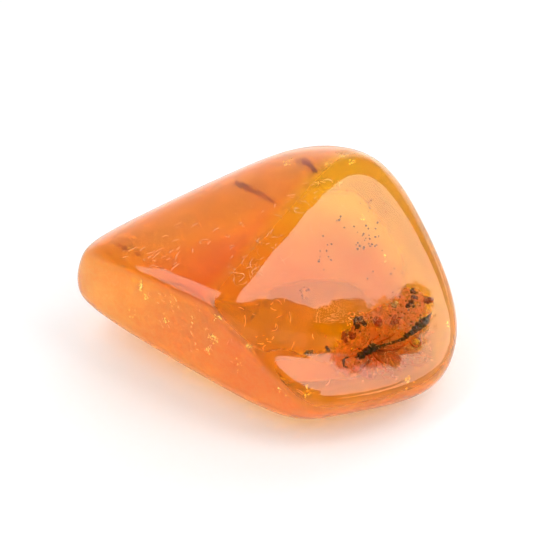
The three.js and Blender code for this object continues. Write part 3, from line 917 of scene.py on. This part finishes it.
def crumbled(name, half, kind, chance):
    """A scrap that has broken into angular bits, which lie close together in an oval of the given half size."""
    dense, bit, flat, long, turn = CRUMBS[kind]
    bits = []
    for number in range(max(LEAST_CRUMBS, round(dense * math.pi * half.x * half.y))):
        piece = stone_ball(f"{name}_{number}", 2)
        size = bit * chance.uniform(0.45, 1.0)
        stretch = Matrix.Diagonal((size * long, size, size * flat, 1))
        reach = 0.8 * math.sqrt(chance.random())
        angle = chance.uniform(0, 2 * math.pi)
        place = Vector((reach * math.cos(angle), reach * math.sin(angle), chance.uniform(-0.6, 0.6)))
        lean = leaned(chance, CRUMB_LEAN)
        lean = Matrix.Rotation(chance.gauss(0, turn), 4, "Z") @ lean
        piece.data.transform(Matrix.Translation(place * half) @ lean @ stretch)
        roughen(piece, 0.6 * size, 0.5 * size, chance.uniform(1, 90), 2)
        bits.append(piece)
    piece = joined(name, bits)
    put_points(piece, np.clip(points_of(piece), -1.25 * np.array(half), 1.25 * np.array(half)))
    return piece


def bark_material(name, main, second, flecks_and_glints):
    paint = Paint(name)
    broad = paint.noise(0.5, detail=4, roughness=0.7)
    fine = paint.noise(0.16, detail=3, seed=0.02)
    colour = paint.mix(broad.step(0.42, 0.62), main, second)
    # The third colour, laid in fine flecks, is partly the bits' own paler grain and partly painted glints.
    paint.surface(base_color=paint.mix(fine.step(0.58, 0.72), colour, flecks_and_glints), roughness=0.45 + fine * 0.4)
    paint.bump(paint.noise(0.1, detail=5, roughness=0.7), 0.04)
    return paint.material


def globule_material():
    paint = Paint("brown_resin", ior=1.12, transmission_weight=0.75)
    swirl = paint.noise(0.6, detail=2, distortion=1.0)
    paint.surface(base_color=paint.mix(swirl, (0.45, 0.1, 0.02), (0.75, 0.22, 0.05)), roughness=0.1 + swirl * 0.1)
    paint.bump(paint.noise(0.3), 0.01)
    return paint.material


# Small things in the amber


class AMBER_OT_flecks(bpy.types.Operator):
    """Make the gold flecks: small cracks that lie so that they throw the light back"""

    bl_idname = "amber.flecks"
    bl_label = "Gold Flecks"

    def execute(self, context):
        chance = random.Random(4)
        ior = context.scene.amber_settings.refraction
        pebble = bpy.data.objects["amber"]
        flecks = []
        for pixel, depth, spread, count in FLECKS:
            middle, seen, normal = point_in_amber(pixel, depth)
            facing = normal
            if depth:
                entry = normal if LIGHT_WAY.dot(normal) > 0.2 else Vector((0, 0, 1))
                facing = -into_amber(-LIGHT_WAY, entry, ior) - seen
            across = facing.orthogonal().normalized()
            beside = facing.normalized().cross(across)
            facing = facing.to_track_quat("Z", "Y").to_matrix().to_4x4()
            for _ in range(count):
                reach = spread * MM * chance.random() ** 0.7
                turn = chance.uniform(0, 2 * math.pi)
                place = middle + reach * (math.cos(turn) * across + math.sin(turn) * beside)
                if depth:
                    place += chance.uniform(-0.2, 0.2) * MM * seen
                else:
                    _, nearest, outward, _ = pebble.closest_point_on_mesh(place)
                    place = nearest + chance.uniform(-0.02, 0.008) * MM * outward
                piece = fleck(f"fleck_{len(flecks)}", chance.uniform(*FLECK_SIZES), chance)
                tilt = leaned(chance, FLECK_LEAN if depth else SURFACE_LEAN)
                laid = Matrix.Translation(place) @ facing @ tilt @ Matrix.Rotation(turn, 4, "Z")
                piece.data.transform(laid @ Matrix.Scale(MM, 4))
                flecks.append(piece)
        flecks = joined("gold_flecks", flecks)
        put_points(flecks, held_in(points_of(flecks), STAND_OUT))
        finish_piece(flecks, fleck_material(), "amber")
        return {"FINISHED"}


def fleck(name, half, chance):
    """A thin crumpled scale of uneven outline, flat in X and Y."""
    piece = stone_ball(name, 2)
    points = points_of(piece)
    points[:, 2] = points[:, 2] * 0.06 + 0.1 * np.sin(3 * points[:, 0] + chance.uniform(0, 6)) * points[:, 1]
    turn = np.arctan2(points[:, 1], points[:, 0])
    rim = 1 + 0.3 * np.sin(2 * turn + chance.uniform(0, 6)) + 0.2 * np.sin(5 * turn + chance.uniform(0, 6))
    points[:, :2] *= rim[:, None] * (1.0, chance.uniform(0.35, 0.9))
    put_points(piece, points * half)
    return piece


def fleck_material():
    paint = Paint("gold_fleck", metallic=1.0)
    flecks = paint.noise(0.25, detail=3)
    paint.surface(base_color=paint.mix(flecks, (1.0, 0.9, 0.3), (1.0, 0.72, 0.12)), roughness=0.12 + flecks * 0.25)
    paint.bump(paint.noise(0.2), 0.01)
    return paint.material


class AMBER_OT_wisps(bpy.types.Operator):
    """Make the fine wisps, curls and specks that lie in the amber"""

    bl_idname = "amber.wisps"
    bl_label = "Wisps, Curls and Specks"

    def execute(self, context):
        settings = context.scene.inclusion_settings
        chance = random.Random(9)
        shares = {"pale_wisps": 1, "flank_wisps": 1, "slope_wisps": 2}
        parts = [squiggles(name, share * settings.wisps, chance) for name, share in shares.items()]
        wisps = joined("pale_wisps", parts)
        put_points(wisps, held_in(points_of(wisps), STAND_OUT))
        finish_piece(wisps, wisp_material("pale_wisp", (1.0, 0.8, 0.6), (1.0, 0.62, 0.36)), "amber")
        curls = squiggles("red_curls", settings.curls, chance)
        finish_piece(curls, wisp_material("red_curl", (0.4, 0.07, 0.04), (0.8, 0.3, 0.2)), "insect")
        grains = squiggles("pink_grains", settings.curls, chance)
        finish_piece(grains, wisp_material("pink_grain", (1.0, 0.6, 0.5), (1.0, 0.78, 0.66)), "insect")
        specks = []
        for number in range(settings.specks):
            pixel = pixel_in(chance.choice(SPECK_AREAS), chance)
            place, _, _ = point_in_amber(pixel, chance.uniform(*SPECK_DEPTHS))
            half = [chance.uniform(*SPECK_SIZES) * MM for _ in range(3)]
            speck = stone_ball(f"speck_{number}", 2)
            roughen(speck, 0.6, 0.6, number)
            speck.data.transform(Matrix.Translation(place) @ Matrix.Diagonal((*half, 1)))
            specks.append(speck)
        specks = joined("dark_specks", specks)
        finish_piece(specks, wisp_material("dark_speck", (0.03, 0.015, 0.01), (0.25, 0.06, 0.03)), "dark_bark")
        return {"FINISHED"}


def pixel_in(area, chance):
    left, top, right, bottom = area
    return chance.uniform(left, right), chance.uniform(top, bottom)


def squiggles(name, count, chance):
    """Thin curling strands that lie across the sight line."""
    areas, depths, lengths, radius = STRANDS[name]
    middle = (STRAND_POINTS - 1) / 2
    radii = [radius * MM * (1 - STRAND_TAPER * abs(step - middle)) for step in range(STRAND_POINTS)]
    lines = []
    for _ in range(count):
        pixel = pixel_in(chance.choice(areas), chance)
        place, seen, _ = point_in_amber(pixel, chance.uniform(*depths))
        side = seen.cross(Vector([chance.uniform(-1, 1) for _ in range(3)])).normalized()
        other = seen.cross(side)
        heading = chance.uniform(0, 2 * math.pi)
        bend = chance.uniform(-MOST_BEND, MOST_BEND)
        stride = chance.uniform(*lengths) * MM / (STRAND_POINTS - 1)
        places = []
        for _ in range(STRAND_POINTS):
            places.append(place)
            heading += bend * chance.uniform(0.2, 1.0)
            way = math.cos(heading) * side + math.sin(heading) * other
            place = place + stride * (way + chance.uniform(-0.3, 0.3) * seen)
        lines.append(list(zip(held_in(places, 0), radii)))
    piece = strands(name, lines, 0, 2)
    smooth(piece)
    return piece


def wisp_material(name, first, second):
    paint = Paint(name)
    change = paint.noise(0.5)
    paint.surface(base_color=paint.mix(change, first, second), roughness=0.4 + change * 0.3)
    paint.bump(paint.noise(0.1), 0.01)
    return paint.material


# The stage


class AMBER_OT_stage(bpy.types.Operator):
    """Make the floor, the soft lights and the camera"""

    bl_idname = "amber.stage"
    bl_label = "Floor, Lights and Camera"

    def execute(self, context):
        settings = context.scene.stage_settings
        deselect()
        bpy.ops.mesh.primitive_plane_add(size=2, location=(0, 0, -0.05 * MM))
        floor = made("floor")
        paint = Paint("floor", specular_ior_level=0.2)
        grain = paint.noise(4)
        colour = paint.mix(grain * 0.1, tuple(settings.floor), (0.93, 0.93, 0.93))
        paint.surface(base_color=colour, roughness=0.7 + grain * 0.1)
        floor.data.materials.append(paint.material)

        for name, (place, size, degrees, dial, share) in SOFTBOXES.items():
            turned = [math.radians(angle) for angle in degrees]
            softbox(name, place, size, turned, getattr(settings, dial) * share)
        context.scene.world = plain_room(settings.room, settings.ceiling, settings.rear)

        eye, _, _ = camera_stand()
        lean = math.pi / 2 - math.radians(CAMERA_TILT)
        bpy.ops.object.camera_add(location=eye, rotation=(lean, 0, 0))
        camera = made("camera")
        camera.data.lens = CAMERA_LENS
        camera.data.sensor_width = CAMERA_SENSOR
        camera.data.clip_start = 1 * MM
        context.scene.camera = camera
        context.scene.view_settings.view_transform = "Standard"
        context.scene.cycles.use_denoising = True
        context.scene.cycles.max_bounces = BOUNCES
        context.scene.cycles.transmission_bounces = BOUNCES
        return {"FINISHED"}


def plain_room(walls, ceiling, rear):
    """Plain surroundings: pale walls that darken softly towards the ceiling, and a glow behind the pebble."""
    world = bpy.data.worlds.new("plain_room")
    world.use_nodes = True
    nodes, links = world.node_tree.nodes, world.node_tree.links
    way = nodes.new("ShaderNodeTexCoord")
    parts = nodes.new("ShaderNodeSeparateXYZ")
    links.new(way.outputs["Generated"], parts.inputs["Vector"])
    total = nodes.new("ShaderNodeMath")
    fades = {"Z": (0.3, 0.7, walls, ceiling), "Y": (0.5, 0.8, 0, rear)}
    for number, (axis, limits) in enumerate(fades.items()):
        fade = nodes.new("ShaderNodeMapRange")
        fade.interpolation_type = "SMOOTHSTEP"
        for key, value in zip(("From Min", "From Max", "To Min", "To Max"), limits):
            fade.inputs[key].default_value = value
        links.new(parts.outputs[axis], fade.inputs["Value"])
        links.new(fade.outputs["Result"], total.inputs[number])
    links.new(total.outputs["Value"], nodes["Background"].inputs["Strength"])
    nodes["Background"].inputs["Color"].default_value = (1, 1, 1, 1)
    return world


def softbox(name, place, size, turned, brightness):
    """A soft light that faces down, then turned. Its place and size are in millimetres."""
    deselect()
    bpy.ops.object.light_add(type="AREA", location=Vector(place) * MM, rotation=turned)
    light = made(name).data
    light.shape = "RECTANGLE"
    light.size, light.size_y = (side * MM for side in size)
    light.energy = brightness * math.pi * light.size * light.size_y


class AMBER_PT_panel(bpy.types.Panel):
    """The steps that make the insect in amber"""

    bl_label = "Insect in Amber"
    bl_idname = "AMBER_PT_panel"
    bl_space_type = "VIEW_3D"
    bl_region_type = "UI"
    bl_category = "Amber"

    def draw(self, context):
        for group, operators in STEPS.items():
            box = self.layout.box()
            settings = getattr(context.scene, group)
            for name in settings.bl_rna.properties.keys():
                if name not in ("rna_type", "name"):
                    box.prop(settings, name)
            for operator in operators:
                box.operator(operator.bl_idname)


STEPS = {
    "amber_settings": (AMBER_OT_pebble,),
    "inclusion_settings": (AMBER_OT_insect, AMBER_OT_haze, AMBER_OT_scraps, AMBER_OT_flecks, AMBER_OT_wisps),
    "stage_settings": (AMBER_OT_stage,),
}
SETTINGS = {
    "amber_settings": AmberSettings,
    "inclusion_settings": InclusionSettings,
    "stage_settings": StageSettings,
}


def register():
    for group, settings in SETTINGS.items():
        bpy.utils.register_class(settings)
        setattr(bpy.types.Scene, group, PointerProperty(type=settings))
    for operators in STEPS.values():
        for operator in operators:
            bpy.utils.register_class(operator)
    bpy.utils.register_class(AMBER_PT_panel)


def unregister():
    bpy.utils.unregister_class(AMBER_PT_panel)
    for operators in STEPS.values():
        for operator in operators:
            bpy.utils.unregister_class(operator)
    for group, settings in SETTINGS.items():
        delattr(bpy.types.Scene, group)
        bpy.utils.unregister_class(settings)


def main():
    register()
    bpy.ops.amber.pebble()
    bpy.ops.amber.insect()
    bpy.ops.amber.haze()
    bpy.ops.amber.scraps()
    bpy.ops.amber.flecks()
    bpy.ops.amber.wisps()
    bpy.ops.amber.stage()
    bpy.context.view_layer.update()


if __name__ == "__main__":
    main()
